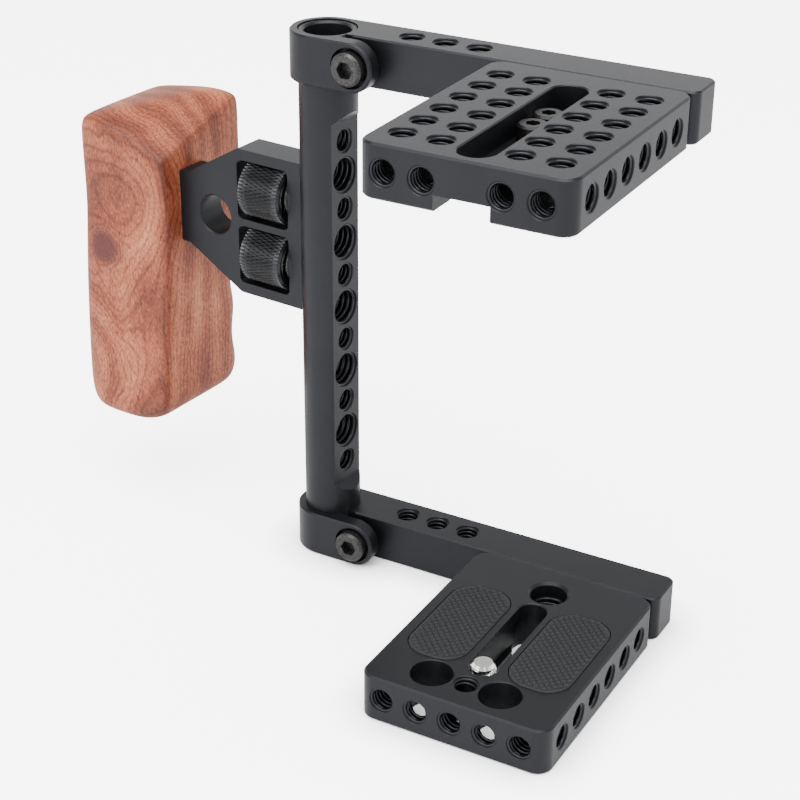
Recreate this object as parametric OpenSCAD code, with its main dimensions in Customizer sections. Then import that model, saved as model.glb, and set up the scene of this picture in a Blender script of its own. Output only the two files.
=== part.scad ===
// Camera cage: a 15 mm upright rod, two split-clamp arms that carry a top plate
// and a base plate, and a wooden side handle on a bracket with two thumbwheels.
// Millimetres. The origin is the rod's axis at the underside of the bottom arm.
// +X runs out along the arms, -Y to the plates' free edge and +Z up the rod.

/* [Rod] */
// Outside diameter of the upright rod
rod_d = 15; // [14:0.5:16]
// Height between the undersides of the two arms
arms_apart = 134; // [130:1:150]
// How far the rod's top end sits below the top of the upper arm
rod_recess = 0.3; // [0:0.1:1]
// Distance from the rod's axis to the milled flat
flat_offset = 4.9; // [4.4:0.1:5.6]
// From the rod's top end down to the middle of the first hole in the flat
first_hole_down = 28.05; // [27.5:0.05:29]
// Number of threaded holes along the flat
rod_hole_count = 11; // [9:2:11]
// Flat left beyond the outermost holes
flat_margin = 5.4; // [4:0.1:6]
// Bore in each end of the rod
rod_end_bore_d = 12; // [10:0.5:12]
// Depth of the bore in each end of the rod
rod_end_bore_depth = 18; // [8:1:18]
// Bevel at the mouth of the rod's end bores
rod_end_bevel = 0.5; // [0.2:0.1:0.7]
// Bevel round the rod's outer end edges
rod_edge_bevel = 0.3; // [0.1:0.1:0.5]

/* [Threads and spacing] */
// Hole spacing used on the plates and arms
hole_pitch = 9.15; // [8.9:0.05:9.4]
// Wall between a small hole and a large one in the rod; it makes the rod's spacing the same
rod_hole_land = 1.2125; // [1:0.0125:1.6]
// Major diameter of the small accessory thread, 1/4-20
small_thread_d = 6.35; // [6:0.05:6.5]
// Major diameter of the large accessory thread, 3/8-16
large_thread_d = 9.525; // [9.3:0.025:9.6]
// Bevel at the mouth of each threaded hole
mouth_bevel = 0.2; // [0.1:0.05:0.3]
// Nominal diameter of the plate, shoe and grip screws
small_screw_d = 4; // [3.5:0.1:4.2]
// Nominal diameter of the two clamp screws
clamp_screw_d = 5; // [4.5:0.1:5.2]

/* [Arms] */
// Wall of the clamp ring round the rod
ring_wall = 2; // [1.6:0.1:3]
// Thickness of an arm from front to back
arm_w = 12.5; // [12:0.5:14]
// Height of an arm and of its clamp ring
arm_h = 12.5; // [12.5:0.5:15]
// From the rod's axis to the free end of an arm
arm_reach = 98; // [96:1:120]
// Radius of the arm's corners at its free end
arm_corner_r = 2.5; // [1:0.5:4]
// Bevel along the arm's edges
arm_bevel = 0.4; // [0.2:0.1:0.8]
// From the rod's axis to the first hole on the arm
arm_hole_x = 21.9; // [21:0.1:24]
// Number of threaded holes on each arm
arm_hole_count = 3; // [1:1:3]
// From the rod's axis to the clamp screw
ear_x = 11.5; // [11.2:0.1:12.5]
// Thickness of the clamp ear
ear_t = 4.2; // [4:0.1:4.6]
// Width of the slit between the ear and the arm
slit_w = 2.3; // [1:0.1:2.4]
// Depth of the counterbore for the clamp screw's head
ear_counterbore = 3; // [2:0.1:3.2]

/* [Plates] */
// Width of both plates, along the arms
plate_w = 50; // [48:1:60]
// Depth of both plates, out from the arms
plate_d = 64.4; // [64:0.2:76]
// Radius of the plates' upright corners
plate_corner_r = 4; // [2:0.5:5]
// Bevel along the plates' edges
plate_bevel = 0.5; // [0.2:0.1:0.8]
// How far the arm's end stands past the plate's side
plate_end_step = 0.65; // [0:0.05:3]
// From a plate's sides to its outer columns of holes, the mean of both sides
column_margin = 6.7; // [6.2:0.1:7.5]
// Shift of the hole pattern towards the rod from the middle of the plate
pattern_shift = 0.35; // [0:0.05:0.5]
// From the arm to the first row of holes
first_row_in = 9.7; // [9.6:0.1:10.5]
// Number of rows of holes, from the arm outwards
row_count = 6; // [5:1:6]
// Depth of the blind threaded holes in the plates' edges
edge_hole_depth = 8.5; // [7:0.5:9]

/* [Top plate slot] */
// Width of the slot in the top plate
top_slot_w = 8.8; // [8:0.1:9.4]
// From the arm to the near end of the top slot
top_slot_in = 8.5; // [8:0.1:10]
// Metal left between the top slot and the plate's free edge
top_slot_edge = 2.5; // [2:0.1:4]
// Depth from the plate's top to the ledge that the screws' heads sit on
top_ledge_depth = 6; // [5.5:0.1:6.5]
// Width of the channel under the top plate
channel_w = 13.2; // [12.8:0.1:13.6]
// Depth of the channel under the top plate
channel_depth = 3.7; // [3.2:0.1:4]
// From the plate's free edge to the middle of the shoe adapter
shoe_in = 37.2; // [30:0.1:44]
// Distance between the two shoe screws
shoe_screw_gap = 8; // [7.6:0.1:9]
// Length of the shoe adapter
shoe_l = 18; // [17:0.5:18.5]
// Width of the shoe foot
shoe_foot_w = 18.6; // [18:0.1:18.7]
// Thickness of the shoe foot
shoe_foot_t = 2; // [1.8:0.1:2.1]
// Width of the neck above the shoe foot
shoe_neck_w = 12.3; // [11.8:0.1:12.5]
// Height of the neck between the plate and the shoe foot
shoe_neck_h = 1.8; // [1.6:0.1:2.4]

/* [Base plate] */
// Diameter of the two plain bores near the free edge
plain_bore_d = 10.6; // [9:0.1:10.8]
// From the free edge to the middle of the plain bores
plain_bore_in = 8.55; // [8.4:0.05:8.8]
// From the arm to the large threaded hole
large_hole_in = 10.5; // [10:0.1:11]
// Bevel at the mouth of the large threaded hole
large_hole_bevel = 0.65; // [0.3:0.05:0.8]
// Width of the camera screw's slot
cam_slot_w = 7.5; // [7:0.1:7.8]
// From the free edge to the near end of the camera screw's slot
cam_slot_in = 13.3; // [13.2:0.1:14]
// Length of the camera screw's slot
cam_slot_l = 34.6; // [24:0.2:35]
// Depth from the plate's top to the underside of the slot's ledge
cam_ledge_t = 4; // [3:0.1:4.4]
// Thickness of the lips that carry the screw's head from below
cam_lip_t = 1.5; // [1:0.1:2]
// Width of a rubber pad
pad_w = 16; // [12:0.5:16]
// Length of a rubber pad
pad_l = 34; // [24:0.5:35]
// Radius of a rubber pad's corners
pad_corner_r = 6.5; // [4:0.5:7]
// From the slot's middle to the middle of a pad
pad_out = 13.7; // [13.4:0.1:14]
// From the arm to the far edge of a pad
pad_in = 16.1; // [15.5:0.1:20]
// Depth of a pad's pocket
pad_pocket = 1.5; // [0.8:0.1:1.8]
// How far a pad stands above the plate
pad_proud = 0.3; // [0.1:0.1:0.6]

/* [Camera screw] */
// Diameter of the camera screw's head
cam_head_d = 9; // [8.6:0.1:9.2]
// Thickness of the camera screw's head
cam_head_h = 3; // [2.4:0.1:3.4]
// How far the screw's tip stands above the plate when it hangs loose
cam_tip_up = 1.25; // [0.5:0.05:2]
// Diameter of the screw's flat tip
cam_tip_d = 4.6; // [4:0.1:5]
// Diameter of the relieved shank below the thread
cam_neck_d = 4.9; // [4.5:0.1:5]
// Length of the threaded part
cam_thread_l = 5.85; // [5:0.05:6.5]
// Thickness of the washer on the head
cam_washer_t = 0.6; // [0.4:0.1:1]

/* [Handle] */
// Turn of the rod and the handle about the upright axis at rest
handle_turn = -5.3; // [-30:0.1:30]
// Thickness of the grip bracket
bracket_t = 9.2; // [8.8:0.1:10]
// Height of the bracket against the rod
bracket_h = 40.6; // [40:0.2:48]
// From the rod's axis to the face of the wooden grip
bracket_reach = 46.4; // [46:0.2:54]
// Height of the bracket's end against the grip
bracket_end_h = 20; // [20:0.5:24]
// Length of the level stretch at the bracket's end
bracket_end_l = 2.7; // [2:0.1:3.6]
// From the rod's axis to the top of the bracket's slope
bracket_top_l = 26.3; // [26:0.1:27]
// Width of a window in the bracket
window_w = 16.6; // [16.2:0.1:17]
// Height of a window in the bracket
window_h = 16.4; // [16.3:0.1:16.8]
// Radius of the windows' corners
window_r = 1.5; // [0.5:0.1:2]
// Metal between the rod's near side and the windows
window_wall = 2.6; // [2.2:0.1:3]
// Diameter of the round hole through the bracket
round_hole_d = 10.6; // [9.6:0.1:10.8]
// From the rod's axis to the round hole
round_hole_x = 34.7; // [34.5:0.1:35]
// Half the distance between the two screws in the bracket's end
grip_screw_off = 6.8; // [6.6:0.1:7.2]

/* [Thumbwheels] */
// Diameter of a thumbwheel
wheel_d = 15.6; // [14.8:0.1:15.8]
// Length of a thumbwheel
wheel_l = 13.5; // [12:0.1:14.5]
// Diameter of the dish in a wheel's end
wheel_dish_d = 12.4; // [11:0.1:13]
// Depth of the dish in a wheel's end
wheel_dish_depth = 1; // [0.5:0.1:2]
// Thickness of the washer beside a wheel
wheel_washer_t = 0.8; // [0.5:0.1:1]
// Diameter of the washer beside a wheel
wheel_washer_d = 11; // [9:0.1:12]
// How deep a stud reaches into the rod
stud_grip = 8; // [4:0.5:9]

/* [Wooden grip] */
// Thickness of the grip, away from the bracket
grip_x = 32.4; // [28:0.2:34]
// Reach of the grip in front of the bracket's middle
grip_front = 14; // [12:0.5:18]
// Reach of the grip behind the bracket's middle
grip_back = 22.8; // [20:0.2:26]
// Height of the grip
grip_h = 90.4; // [84:0.2:110]
// How far the grip reaches below the middle of the bracket
grip_below = 65.7; // [58:0.1:68]
// Radius that rounds the grip's corners
grip_r = 4; // [2:0.5:5]
// From the back of the grip in to the bottom of the lowest finger groove
groove_depth = 5.9; // [5:0.1:6.5]
// How much further back each next groove lies
groove_step = 0.95; // [0.5:0.05:1.2]
// From the grip's lower end to the lowest finger groove
groove_up = 20.4; // [18:0.2:24]
// Spacing of the finger grooves
groove_pitch = 17.4; // [15:0.2:18]

/* [Hidden] */
$fn = 64;

// Clearances
over = 1;             // overrun of every cut past the face it opens
run_fit = 0.05;       // radial play of a screw in the thread it turns in
rod_fit = 0.03;       // radial play of the rod in the clamp rings
seat_fit = 0.02;      // play between pieces that are clamped face to face
shank_play = 0.2;     // radial play of a screw in a plain hole
pad_play = 0.25;      // play round a rubber pad in its pocket
slide_play = 0.1;     // play of a slider in its channel, each side

// Standard proportions of cap screws, as shares of the thread
head_d_share = 1.7;
m4_head_d_share = 1.75;
hex_share = 0.8;
m4_hex_share = 0.75;
hex_depth_share = 0.5;
screw_bevel_share = 0.12;

// Rod and arms
rod_r = rod_d / 2;
total_h = arms_apart + arm_h;
rod_top = total_h - rod_recess;
ring_r = rod_r + ring_wall;
arm_back = ring_r;
arm_front = arm_back - arm_w;
arm_mid = (arm_back + arm_front) / 2;
ear_front = -ring_r;
ear_inner = ear_front + ear_t;
ear_end_r = arm_h / 2;
clamp_head_d = clamp_screw_d * head_d_share;
clamp_head_h = clamp_screw_d;
clamp_seat_y = ear_front + ear_counterbore;
clamp_counterbore_play = 0.9;
clamp_counterbore_d = clamp_head_d + 2 * clamp_counterbore_play;
clamp_end_wall = 1.8;
clamp_screw_end = arm_back - clamp_end_wall - run_fit;
clamp_screw_l = clamp_screw_end - clamp_seat_y;

// Rod holes, numbered from the top; even numbers are small
rod_hole_pitch = (small_thread_d + large_thread_d) / 2 + rod_hole_land;
function rod_hole_z(k) = rod_top - first_hole_down - k * rod_hole_pitch;
function rod_hole_d(k) = k % 2 == 0 ? small_thread_d : large_thread_d;
flat_top = rod_hole_z(0) + flat_margin;
flat_bottom = rod_hole_z(rod_hole_count - 1) - flat_margin;

// Plates
plate_t = arm_h;
plate_x = arm_reach - plate_end_step - plate_w;
plate_far = plate_x + plate_w;
plate_front = arm_front - plate_d;
plate_mid = plate_x + plate_w / 2;
column_count = 5;
pattern_mid = plate_mid - pattern_shift;
column_pitch = (plate_w - 2 * column_margin) / (column_count - 1);
pattern_x = pattern_mid - (column_count - 1) / 2 * column_pitch;
function column_x(k) = pattern_x + k * column_pitch;
function row_y(k) = arm_front - first_row_in - k * hole_pitch;
outer_columns = [0, 1, column_count - 2, column_count - 1];
edge_z = plate_t / 2;

// Screws that hold each plate to its arm, placed between two columns
plate_screw_columns = [0.5, column_count - 1.5];
plate_head_sink = 0.5;
plate_screw_seat = arm_back - small_screw_d - plate_head_sink;
small_head_d = small_screw_d * m4_head_d_share;
small_head_play = 0.3;
plate_screw_grip = 6;
plate_screw_l = plate_screw_seat - arm_front + plate_screw_grip;

// Top plate's slot and the shoe adapter under it
top_slot_far = arm_front - top_slot_in;
top_slot_l = plate_d - top_slot_in - top_slot_edge;
slot_bevel = 0.3;
shoe_hole_play = 0.2;
shoe_shank_slot_w = small_screw_d + 2 * shoe_hole_play;
shank_slot_inset = (top_slot_w - shoe_shank_slot_w) / 2;
shoe_mid_y = plate_front + shoe_in;
shoe_block_w = channel_w - 2 * slide_play;
shoe_block_top = arms_apart + channel_depth - seat_fit;
shoe_foot_top = arms_apart - shoe_neck_h;
shoe_foot_bottom = shoe_foot_top - shoe_foot_t;
shoe_screw_seat = total_h - top_ledge_depth + seat_fit;
shoe_screw_short = 0.6;
shoe_screw_l = shoe_screw_seat - shoe_foot_bottom - shoe_screw_short;

// Base plate
bore_y = plate_front + plain_bore_in;
large_hole_y = arm_front - large_hole_in;
cam_slot_near = plate_front + cam_slot_in;
cam_head_play = 0.2;
cam_cavity_w = cam_head_d + 2 * cam_head_play;
cam_screw_y = cam_slot_near + cam_slot_w / 2;
cam_cavity_near = cam_screw_y - cam_cavity_w / 2;
cam_lip_step = 0.5;
cam_cavity_l = cam_slot_near + cam_slot_l + cam_lip_step - cam_cavity_near;
cam_lip_gap_w = cam_slot_w - cam_lip_step;
cam_entry_step = 0.1;
cam_entry_y = cam_cavity_near + cam_cavity_l - cam_cavity_w / 2;
cam_tip_z = plate_t + cam_tip_up;
cam_thread_z = cam_tip_z - cam_thread_l;
cam_head_bottom = cam_lip_t + seat_fit;
cam_head_top = cam_head_bottom + cam_head_h;
cam_tip_bevel = (small_thread_d - cam_tip_d) / 2;
cam_coin_w = 1.4;
cam_coin_depth = 1.4;
cam_washer_d = cam_head_d - cam_head_play;
pad_t = pad_pocket + pad_proud - seat_fit;
pad_bevel = 0.3;
pad_far = arm_front - pad_in;

// Handle
bracket_z = rod_hole_z(3);
wheel_holes = [2, 4];
window_right = -rod_r - window_wall;
window_left = window_right - window_w;
bracket_bevel = 0.3;
grip_face = -bracket_reach - seat_fit;
wheel_right = window_right - wheel_washer_t - 2 * run_fit;
wheel_left = wheel_right - wheel_l;
wheel_bevel = 0.5;
wheel_hub_wall = 1.2;
wheel_hub_d = small_thread_d + 2 * wheel_hub_wall;
stud_d = small_thread_d - 2 * run_fit;
stud_end = -rod_r + stud_grip;
stud_bevel = 0.6;

// Screws through the grip
grip_head_sink = 6.2;
grip_screw_seat = grip_face - grip_x + grip_head_sink;
grip_screw_grip = 7.6;
grip_screw_l = -bracket_reach - grip_screw_seat + grip_screw_grip;
grip_counterbore_play = 0.5;

// Wooden grip, its corners as shares of its thickness, depth and height.
// Each row is [across from the bracket, front to back, up].
grip_d = grip_front + grip_back;
grip_bottom = bracket_z - grip_below;
grip_corner_shares = [
    [0.22, 0.00, 0.00], [0.95, 0.00, 0.00], [0.00, 0.00, 0.055], [1.00, 0.03, 0.05],
    [0.00, 0.82, 0.06], [0.22, 0.80, 0.00], [0.94, 0.80, 0.01], [1.00, 0.78, 0.06],
    [1.00, 0.03, 0.40], [1.00, 0.78, 0.40], [0.00, 0.08, 0.88], [0.925, 0.09, 0.955],
    [0.00, 0.99, 0.84], [0.95, 0.99, 0.84], [0.03, 1.00, 0.985], [0.27, 1.00, 1.00],
    [0.65, 0.985, 0.975], [0.93, 0.24, 0.97], [0.92, 0.97, 0.93]
];
groove_r = 11;
groove_count = 3;

// Colours
anodised = "#3b3c40";
anodised_top = "#55565a";
black_oxide = "#4a4744";
nickel = "#d8d6d0";
rubber = "#26262a";
rosewood = "#b0623f";
nylon = "#e8e6e0";

// Outline of a slab seen from its end, with bevelled corners
function bevelled(w, h, c) = [
    [c, 0], [w - c, 0], [w, c], [w, h - c],
    [w - c, h], [c, h], [0, h - c], [0, c]
];

// Disc or post with bevelled edges, standing on z = 0
module bevelled_post(r, h, c) {
    rotate_extrude() polygon([[0, 0], [r - c, 0], [r, c], [r, h - c], [r - c, h], [0, h]]);
}

// Slab with round upright corners and bevelled edges, from its corner
module slab(w, d, h, r, c) {
    translate([r, 0, 0]) rotate([90, 0, 90]) linear_extrude(w - 2 * r) polygon(bevelled(d, h, c));
    translate([0, d - r, 0]) rotate([90, 0, 0]) linear_extrude(d - 2 * r) polygon(bevelled(w, h, c));
    for (x = [r, w - r], y = [r, d - r]) translate([x, y, 0]) bevelled_post(r, h, c);
}

// Drill for a hole whose mouth is at z = 0 and which runs down
module drill(d, depth, bevel) {
    translate([0, 0, -depth]) cylinder(d = d, h = depth + over);
    translate([0, 0, -bevel]) cylinder(d1 = d, d2 = d + 2 * (bevel + over), h = bevel + over);
}

// Drill for a hole right through a plate of thickness t, bevelled at both mouths
module through_drill(d, t, bevel) {
    drill(d, t + over, bevel);
    translate([0, 0, -t]) mirror([0, 0, 1]) drill(d, over, bevel);
}

// Cutter for a slot with round ends, mouth at z = 0, from y = 0 to y = l
module slot_cutter(w, l, depth) {
    translate([0, w / 2, -depth]) cylinder(d = w, h = depth + over);
    translate([0, l - w / 2, -depth]) cylinder(d = w, h = depth + over);
    translate([-w / 2, w / 2, -depth]) cube([w, l - w, depth + over]);
}

// Bevel round the mouth of such a slot
module slot_bevel_cutter(w, l, c) {
    for (y = [w / 2, l - w / 2])
        translate([0, y, -c]) cylinder(d1 = w, d2 = w + 2 * (c + over), h = c + over);
    translate([0, l - w / 2, -c]) rotate([90, 0, 0]) linear_extrude(l - w)
        polygon([[-w / 2, 0], [w / 2, 0], [w / 2 + c + over, c + over], [-w / 2 - c - over, c + over]]);
}

// Socket-head cap screw: its head seats at z = 0 and its shank runs down
module cap_screw(d, head_d, head_h, l, hex_w) {
    c = d * screw_bevel_share;
    difference() {
        rotate_extrude() polygon([
            [0, -l], [d / 2 - c, -l], [d / 2, c - l], [d / 2, 0],
            [head_d / 2, 0], [head_d / 2, head_h - c], [head_d / 2 - c, head_h], [0, head_h]
        ]);
        translate([0, 0, head_h - d * hex_depth_share])
            cylinder(d = hex_w / cos(30), h = d, $fn = 6);
    }
}

module small_screw(l) {
    cap_screw(small_screw_d, small_head_d, small_screw_d, l, small_screw_d * m4_hex_share);
}

// One arm with its clamp ring, its ear and the holes it carries, from z = 0
module clamp_arm() {
    difference() {
        union() {
            bevelled_post(ring_r, arm_h, arm_bevel);
            translate([-arm_corner_r, arm_front, 0])
                slab(arm_reach + arm_corner_r, arm_w, arm_h, arm_corner_r, arm_bevel);
            translate([0, ear_front, 0]) rotate([90, 0, 90]) linear_extrude(ear_x)
                polygon(bevelled(ear_t, arm_h, arm_bevel));
            translate([ear_x, ear_inner, arm_h / 2]) rotate([90, 0, 0])
                bevelled_post(ear_end_r, ear_t, arm_bevel);
        }
        translate([0, 0, -over]) cylinder(r = rod_r + rod_fit, h = arm_h + 2 * over);
        translate([rod_r / 2, arm_front - slit_w, -over])
            cube([ear_x + ear_end_r, slit_w, arm_h + 2 * over]);
        translate([ear_x, ear_front, arm_h / 2]) rotate([90, 0, 0]) {
            drill(clamp_counterbore_d, ear_counterbore, 0);
            drill(clamp_screw_d + 2 * shank_play, ear_t + slit_w / 2, 0);
            drill(clamp_screw_d + 2 * run_fit, arm_back - ear_front - clamp_end_wall + run_fit, 0);
        }
        for (k = [0 : arm_hole_count - 1])
            translate([arm_hole_x + k * hole_pitch, arm_mid, arm_h])
                through_drill(small_thread_d, arm_h, mouth_bevel);
        for (k = plate_screw_columns)
            translate([column_x(k), arm_back, edge_z]) rotate([-90, 0, 0]) {
                drill(small_head_d + 2 * small_head_play, arm_back - plate_screw_seat, 0);
                drill(small_screw_d + 2 * shank_play, arm_w + over, 0);
            }
    }
}

// The two screws that hold a plate to its arm
module plate_screws() {
    for (k = plate_screw_columns)
        translate([column_x(k), plate_screw_seat + seat_fit, edge_z])
            rotate([-90, 0, 0]) small_screw(plate_screw_l);
}

// What both plates share: the slab, its edge holes and its screw holes
module plate_blank(front_columns) {
    difference() {
        translate([plate_x, plate_front, 0])
            slab(plate_w, plate_d - seat_fit, plate_t, plate_corner_r, plate_bevel);
        for (k = front_columns)
            translate([column_x(k), plate_front, edge_z]) rotate([90, 0, 0])
                drill(small_thread_d, edge_hole_depth, mouth_bevel);
        for (k = [0 : row_count - 1])
            translate([plate_far, row_y(k), edge_z]) rotate([0, 90, 0])
                drill(small_thread_d, edge_hole_depth, mouth_bevel);
        for (k = plate_screw_columns)
            translate([column_x(k), arm_front, edge_z]) rotate([-90, 0, 0])
                drill(small_screw_d + 2 * seat_fit, plate_screw_grip + seat_fit, 0);
    }
}

module clamp_screw() {
    translate([ear_x, clamp_seat_y - seat_fit, arm_h / 2]) rotate([90, 0, 0])
        cap_screw(clamp_screw_d, clamp_head_d, clamp_head_h, clamp_screw_l, clamp_screw_d * hex_share);
}

// Turns what belongs to the rod and the handle to its rest angle
module in_handle() {
    rotate([0, 0, handle_turn]) children();
}

module bottom_arm() {
    color(anodised) clamp_arm();
}

module base_plate() {
    color(anodised) difference() {
        plate_blank([0 : column_count - 1]);
        for (side = [-1, 1])
            translate([pattern_mid + side * hole_pitch, bore_y, plate_t])
                through_drill(plain_bore_d, plate_t, mouth_bevel);
        translate([pattern_mid, bore_y, plate_t])
            through_drill(small_thread_d, plate_t, mouth_bevel);
        translate([plate_mid, large_hole_y, plate_t])
            through_drill(large_thread_d, plate_t, large_hole_bevel);
        translate([plate_mid, cam_slot_near, plate_t]) {
            slot_cutter(cam_slot_w, cam_slot_l, cam_ledge_t + over);
            slot_bevel_cutter(cam_slot_w, cam_slot_l, slot_bevel);
        }
        translate([plate_mid, cam_cavity_near, plate_t - cam_ledge_t - over])
            slot_cutter(cam_cavity_w, cam_cavity_l, plate_t - cam_ledge_t - cam_lip_t - over);
        translate([plate_mid, cam_screw_y - cam_lip_gap_w / 2, cam_lip_t])
            slot_cutter(cam_lip_gap_w, cam_entry_y - cam_screw_y + cam_lip_gap_w, cam_lip_t + over);
        translate([plate_mid, cam_entry_y, -over])
            cylinder(d = cam_cavity_w - cam_entry_step, h = cam_lip_t + 2 * over);
        for (side = [-1, 1]) pad_pocket_cutter(side);
    }
}

module pad_pocket_cutter(side) {
    translate([plate_mid + side * pad_out - pad_w / 2, pad_far - pad_l, plate_t - pad_pocket])
        translate([-pad_play, -pad_play, 0])
        slab(pad_w + 2 * pad_play, pad_l + 2 * pad_play, pad_pocket + over, pad_corner_r + pad_play, 0);
}

module rubber_pad(side) {
    color(rubber)
        translate([plate_mid + side * pad_out - pad_w / 2, pad_far - pad_l, plate_t - pad_pocket + seat_fit])
        slab(pad_w, pad_l, pad_t, pad_corner_r, pad_bevel);
}

module left_pad() {
    rubber_pad(-1);
}

module right_pad() {
    rubber_pad(1);
}

module base_plate_screws() {
    color(black_oxide) plate_screws();
}

// Camera screw: coin-slotted head, relieved neck and a short 1/4-20 thread
module camera_screw() {
    color(nickel) translate([plate_mid, cam_screw_y, 0]) difference() {
        rotate_extrude() polygon([
            [0, cam_head_bottom], [cam_head_d / 2, cam_head_bottom],
            [cam_head_d / 2, cam_head_top], [cam_neck_d / 2, cam_head_top],
            [cam_neck_d / 2, cam_thread_z], [small_thread_d / 2, cam_thread_z],
            [small_thread_d / 2, cam_tip_z - cam_tip_bevel],
            [cam_tip_d / 2, cam_tip_z], [0, cam_tip_z]
        ]);
        translate([-cam_head_d, -cam_coin_w / 2, cam_head_bottom - over])
            cube([2 * cam_head_d, cam_coin_w, cam_coin_depth + over]);
    }
}

module camera_screw_washer() {
    color(nylon) translate([plate_mid, cam_screw_y, cam_head_top + seat_fit])
        ring(cam_washer_d, cam_neck_d + 2 * run_fit, cam_washer_t);
}

// Flat ring standing on z = 0
module ring(outer, inner, h) {
    difference() {
        cylinder(d = outer, h = h);
        translate([0, 0, -over]) cylinder(d = inner, h = h + 2 * over);
    }
}

module bottom_clamp_screw() {
    color(black_oxide) clamp_screw();
}

// Cutter for the flat, with 45 degree run-outs at its ends
module flat_cutter() {
    depth = rod_r - flat_offset + over;
    translate([flat_offset, rod_r + over, 0]) rotate([90, 0, 0]) linear_extrude(rod_d + 2 * over)
        polygon([[0, flat_bottom], [depth, flat_bottom - depth], [depth, flat_top + depth], [0, flat_top]]);
}

module upright_rod() {
    color(anodised) in_handle() difference() {
        bevelled_post(rod_r, rod_top, rod_edge_bevel);
        translate([0, 0, rod_top]) drill(rod_end_bore_d, rod_end_bore_depth, rod_end_bevel);
        mirror([0, 0, 1]) drill(rod_end_bore_d, rod_end_bore_depth, rod_end_bevel);
        flat_cutter();
        for (k = [0 : rod_hole_count - 1])
            translate([flat_offset, 0, rod_hole_z(k)]) rotate([0, 90, 0])
                drill(rod_hole_d(k), flat_offset + rod_d, mouth_bevel);
    }
}

// The bracket's outline seen from the front, about its middle height
function bracket_outline() = [
    [-rod_r / 2, bracket_h / 2], [-bracket_top_l, bracket_h / 2],
    [bracket_end_l - bracket_reach, bracket_end_h / 2], [-bracket_reach, bracket_end_h / 2],
    [-bracket_reach, -bracket_end_h / 2], [bracket_end_l - bracket_reach, -bracket_end_h / 2],
    [-bracket_top_l, -bracket_h / 2], [-rod_r / 2, -bracket_h / 2]
];

module grip_bracket() {
    color(anodised) in_handle() difference() {
        translate([0, bracket_t / 2, bracket_z]) rotate([90, 0, 0])
            linear_extrude(bracket_t) polygon(bracket_outline());
        translate([0, 0, bracket_z - bracket_h / 2 - over])
            cylinder(r = rod_r + seat_fit, h = bracket_h + 2 * over);
        for (k = wheel_holes) {
            translate([window_left, -bracket_t / 2 - over, rod_hole_z(k) - window_h / 2])
                translate([0, bracket_t + 2 * over, 0]) rotate([90, 0, 0])
                slab(window_w, window_h, bracket_t + 2 * over, window_r, 0);
            translate([window_left, 0, rod_hole_z(k)]) rotate([0, 90, 0])
                cylinder(d = small_thread_d + 2 * run_fit, h = window_w + window_wall + rod_r);
        }
        translate([-round_hole_x, -bracket_t / 2, bracket_z]) rotate([90, 0, 0])
            through_drill(round_hole_d, bracket_t, bracket_bevel);
        for (side = [-1, 1])
            translate([-bracket_reach, 0, bracket_z + side * grip_screw_off]) rotate([0, -90, 0])
                drill(small_screw_d + 2 * seat_fit, grip_screw_grip + seat_fit, 0);
    }
}

// Knurled thumbwheel with dished ends and a raised hub in each dish
module thumbwheel(k) {
    r = wheel_d / 2;
    dish_r = wheel_dish_d / 2;
    hub_r = wheel_hub_d / 2;
    bore_r = stud_d / 2 + seat_fit;
    color(anodised_top) in_handle() translate([wheel_left, 0, rod_hole_z(k)]) rotate([0, 90, 0])
        rotate_extrude() polygon([
            [bore_r, 0], [hub_r, 0], [hub_r, wheel_dish_depth], [dish_r, wheel_dish_depth],
            [dish_r, 0], [r - wheel_bevel, 0], [r, wheel_bevel],
            [r, wheel_l - wheel_bevel], [r - wheel_bevel, wheel_l],
            [dish_r, wheel_l], [dish_r, wheel_l - wheel_dish_depth],
            [hub_r, wheel_l - wheel_dish_depth], [hub_r, wheel_l], [bore_r, wheel_l]
        ]);
}

// Threaded stud that turns with a wheel and screws into the rod
module thumb_stud(k) {
    l = stud_end - wheel_left;
    color(nickel) in_handle() translate([wheel_left, 0, rod_hole_z(k)]) rotate([0, 90, 0])
        bevelled_post(stud_d / 2, l, stud_bevel);
}

module wheel_washer(k) {
    color(nickel) in_handle() translate([wheel_right + run_fit, 0, rod_hole_z(k)]) rotate([0, 90, 0])
        ring(wheel_washer_d, small_thread_d + 2 * run_fit, wheel_washer_t);
}

module upper_thumbwheel() {
    thumbwheel(wheel_holes[0]);
}

module upper_thumb_stud() {
    thumb_stud(wheel_holes[0]);
}

module upper_wheel_washer() {
    wheel_washer(wheel_holes[0]);
}

module lower_thumbwheel() {
    thumbwheel(wheel_holes[1]);
}

module lower_thumb_stud() {
    thumb_stud(wheel_holes[1]);
}

module lower_wheel_washer() {
    wheel_washer(wheel_holes[1]);
}

// A place inside the grip, given as shares of its sizes and kept grip_r inside
function grip_place(s) = [
    grip_face - grip_r - s[0] * (grip_x - 2 * grip_r),
    grip_r - grip_front + s[1] * (grip_d - 2 * grip_r),
    grip_bottom + grip_r + s[2] * (grip_h - 2 * grip_r)
];

module wood_grip() {
    color(rosewood) in_handle() difference() {
        hull() for (s = grip_corner_shares) translate(grip_place(s)) sphere(r = grip_r, $fn = 20);
        for (k = [0 : groove_count - 1])
            translate([
                grip_face - grip_x - over,
                grip_back - groove_depth + k * groove_step + groove_r,
                grip_bottom + groove_up + k * groove_pitch
            ]) rotate([0, 90, 0]) cylinder(r = groove_r, h = grip_x + 2 * over);
        for (side = [-1, 1])
            translate([grip_face - grip_x, 0, bracket_z + side * grip_screw_off]) rotate([0, -90, 0]) {
                drill(small_head_d + 2 * grip_counterbore_play, grip_head_sink, 0);
                drill(small_screw_d + 2 * shank_play, grip_x + over, 0);
            }
    }
}

module grip_screws() {
    color(black_oxide) in_handle() for (side = [-1, 1])
        translate([grip_screw_seat - seat_fit, 0, bracket_z + side * grip_screw_off])
            rotate([0, -90, 0]) small_screw(grip_screw_l);
}

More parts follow.
